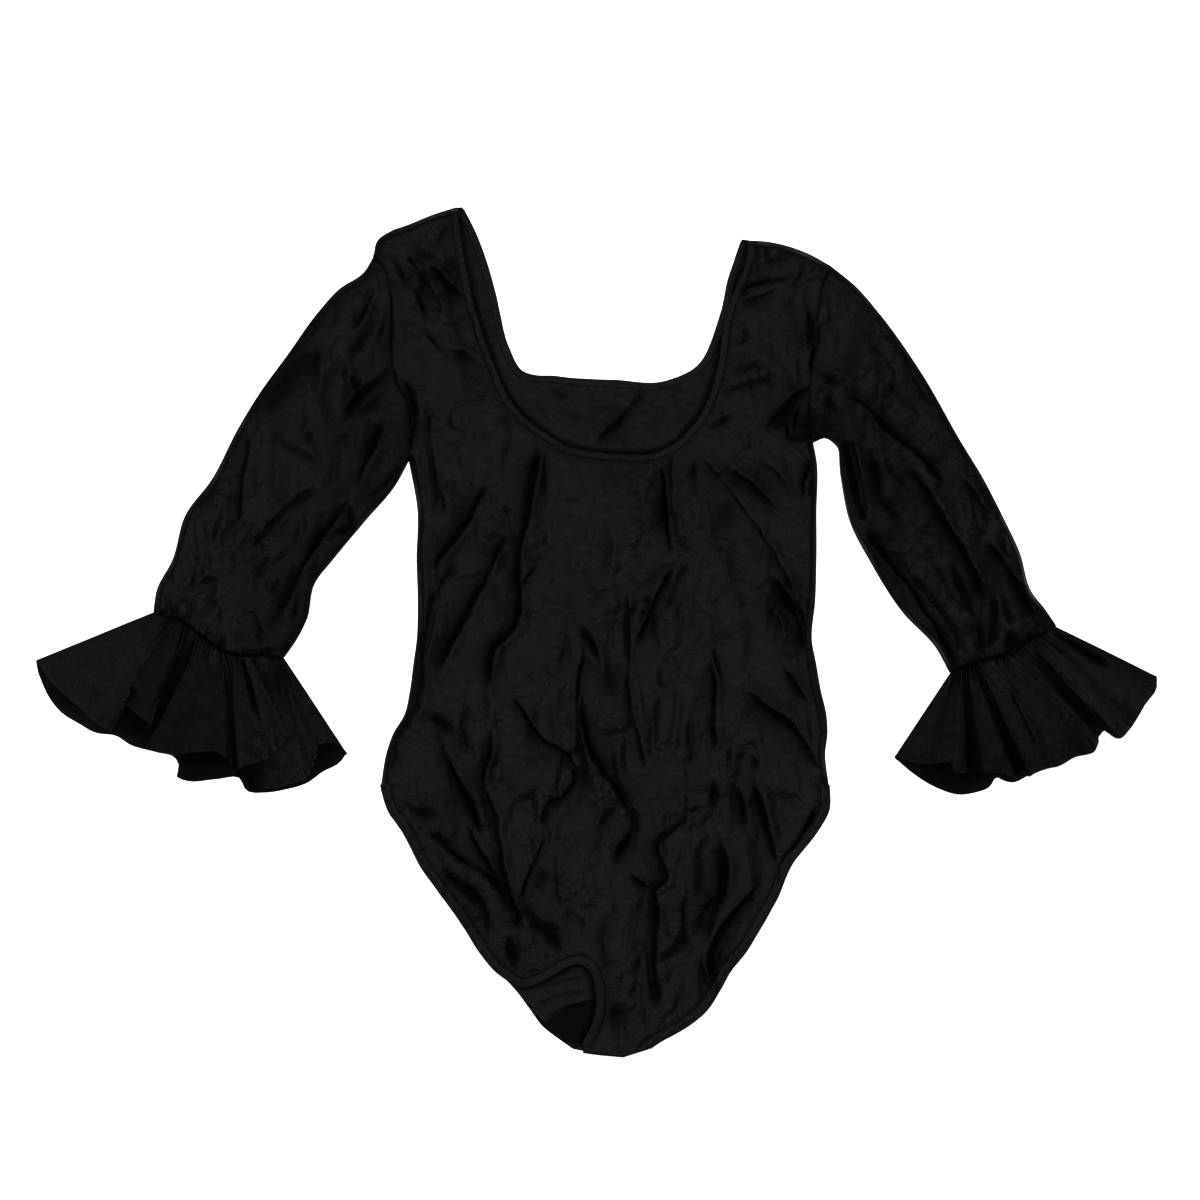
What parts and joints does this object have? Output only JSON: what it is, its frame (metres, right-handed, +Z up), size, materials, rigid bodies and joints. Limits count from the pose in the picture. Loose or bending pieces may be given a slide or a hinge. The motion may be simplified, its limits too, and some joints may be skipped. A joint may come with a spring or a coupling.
{
  "type": "dance leotard",
  "caption": "Black dance leotard with a low scooped neck and three-quarter sleeves that end in full ruffles, laid flat with its front up.",
  "frame": {"origin": "on the surface that the garment lies on, under the middle of its box", "axes": "+X towards the wearer's left sleeve, +Y towards the shoulders, +Z up out of the front of the garment"},
  "size_m": [1.0124, 0.765, 0.0137],
  "materials": {
    "knit": "smooth black stretch knit with a faint satin sheen",
    "band": "the same knit turned over elastic and stitched in two rows",
    "lining": "matt dark cotton knit with a bluish cast"
  },
  "bodies": {
    "root": {"back_body": "knit", "front_body": "knit", "right_sleeve": "knit", "left_sleeve": "knit", "right_sleeve_ruffle": "knit", "left_sleeve_ruffle": "knit", "front_neck_band": "band", "back_neck_band": "band", "right_leg_band": "band", "left_leg_band": "band", "gusset_lining": "lining"}
  },
  "joints": []
}
